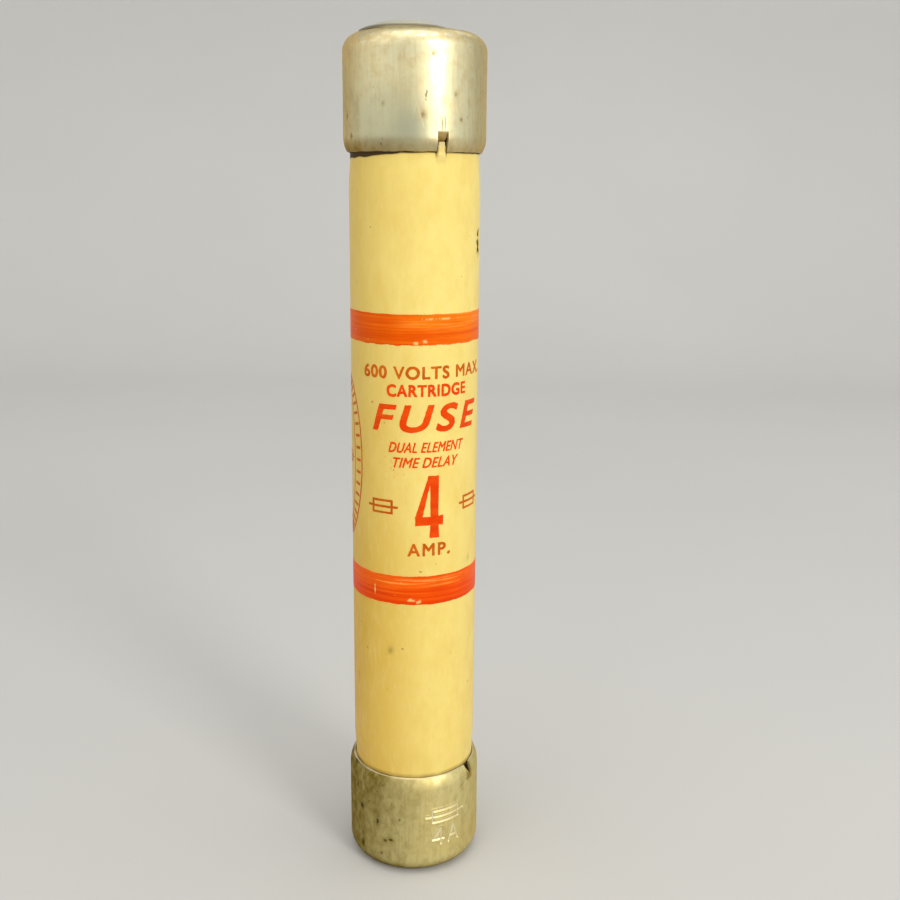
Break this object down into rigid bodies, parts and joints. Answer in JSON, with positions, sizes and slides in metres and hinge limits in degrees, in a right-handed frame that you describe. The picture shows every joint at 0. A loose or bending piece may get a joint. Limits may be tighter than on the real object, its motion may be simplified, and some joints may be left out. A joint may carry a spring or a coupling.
{
  "type": "cartridge fuse",
  "caption": "Round cartridge fuse with metal end ferrules on a varnished fibre tube, sand filled, with a spring trigger that opens the circuit on overload.",
  "frame": {"origin": "middle of the lower ferrule's end face, the face the fuse stands on", "axes": "+Z along the fuse towards the upper ferrule; the printed side of the tube faces -Y"},
  "size_m": [0.0206, 0.0206, 0.1287],
  "materials": {
    "nickel": "satin",
    "fibre_tube": "satin",
    "solder": "satin",
    "vulcanised_fibre": "matte",
    "paper": "matte",
    "sand": "matte",
    "copper": "satin",
    "brass": "satin",
    "ceramic": "matte",
    "resistance_wire": "satin",
    "spring_steel": "satin"
  },
  "bodies": {
    "casing": {"fibre_tube": "fibre_tube", "upper_ferrule": "nickel", "lower_ferrule": "nickel", "solder_button": "solder", "solder_plug": "solder", "upper_end_washer": "vulcanised_fibre", "lower_end_washer": "vulcanised_fibre", "upper_seal_disc": "paper", "lower_seal_disc": "paper", "upper_sand": "sand", "lower_sand": "sand", "upper_barrier_disc": "vulcanised_fibre", "lower_barrier_disc": "vulcanised_fibre", "chamber_liner": "paper", "upper_link": "copper", "lower_link": "copper", "lower_eyelet": "brass", "heater_core": "ceramic", "heater_coil": "resistance_wire", "heat_absorber": "brass", "fusible_alloy": "solder", "spring_seat_washer": "brass", "trigger_spring": "spring_steel", "contact_sleeve": "brass"},
    "trigger": {"trigger_plunger": "copper", "plunger_collar": "brass"}
  },
  "joints": [
    {"name": "trigger_slide", "type": "slide", "parent": "casing", "child": "trigger", "axis": [0, 0, 1], "range_m": [0, 0.006], "deforming": ["trigger_spring"]}
  ]
}
